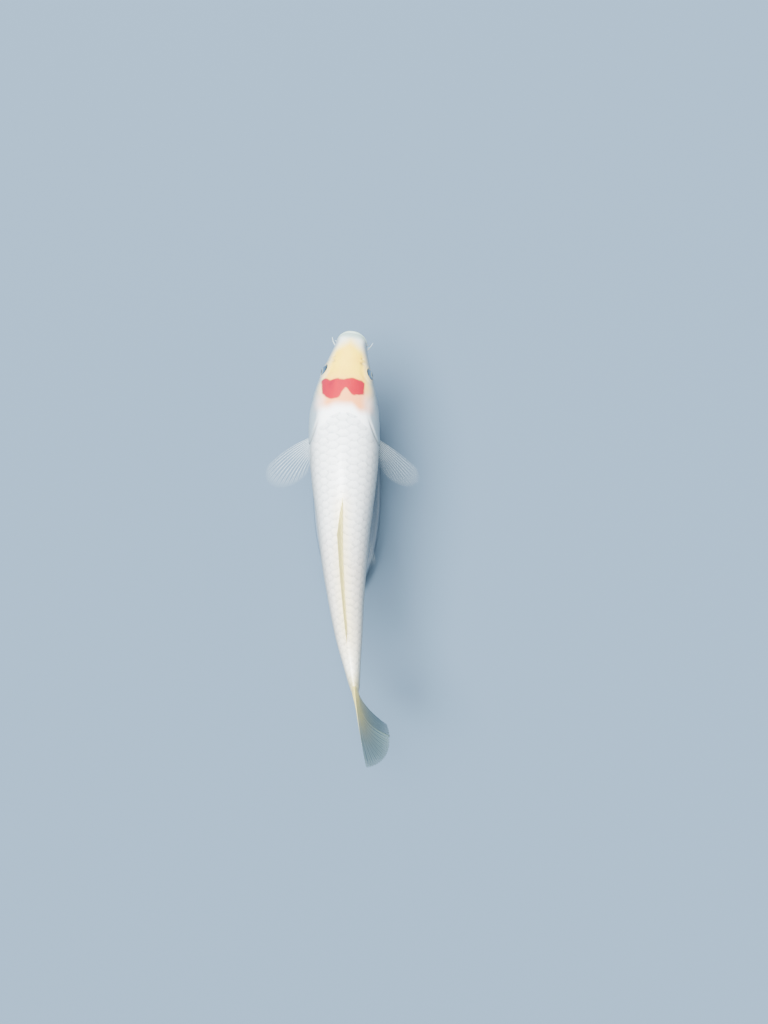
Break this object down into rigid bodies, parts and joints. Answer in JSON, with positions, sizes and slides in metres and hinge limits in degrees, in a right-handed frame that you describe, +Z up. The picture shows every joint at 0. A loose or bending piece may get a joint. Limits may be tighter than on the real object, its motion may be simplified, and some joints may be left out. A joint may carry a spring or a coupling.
{
  "type": "koi carp model on a display stand",
  "caption": "Life-size still model of a young white koi carp with a red mark on its head, swimming with a gentle bend, on a low oval stand with short rods.",
  "frame": {"origin": "centre of the underside of the display stand's base", "axes": "+X towards the fish's head, +Y to the fish's left, +Z up"},
  "size_m": [0.2145, 0.0809, 0.098],
  "materials": {
    "head_skin": "smooth wet skin without scales, creamy yellow with a red mark over the eyes",
    "scaled_skin": "white skin under overlapping smooth scales, slightly glossy",
    "gill_cover": "smooth pearly plate, slightly glossy",
    "lip": "soft smooth pale skin",
    "eye": "glossy dark eye with a pale blue-grey ring",
    "fin": "thin translucent membrane with fine pale rays",
    "stand_base": "light grey moulded plastic with a satin surface",
    "stand_rod": "plain steel"
  },
  "bodies": {
    "root": {"head": "head_skin", "trunk_front": "scaled_skin", "trunk_rear": "scaled_skin", "tail_stalk": "scaled_skin", "gill_cover_left": "gill_cover", "gill_cover_right": "gill_cover", "lip_upper": "lip", "lip_lower": "lip", "eye_left": "eye", "eye_right": "eye", "barbel_long_left": "lip", "barbel_long_right": "lip", "barbel_short_left": "lip", "barbel_short_right": "lip", "dorsal_fin": "fin", "anal_fin": "fin", "tail_fin": "fin", "pectoral_fin_left": "fin", "pectoral_fin_right": "fin", "pelvic_fin_left": "fin", "pelvic_fin_right": "fin", "stand_base": "stand_base", "stand_rod_front": "stand_rod", "stand_rod_rear": "stand_rod"}
  },
  "joints": []
}
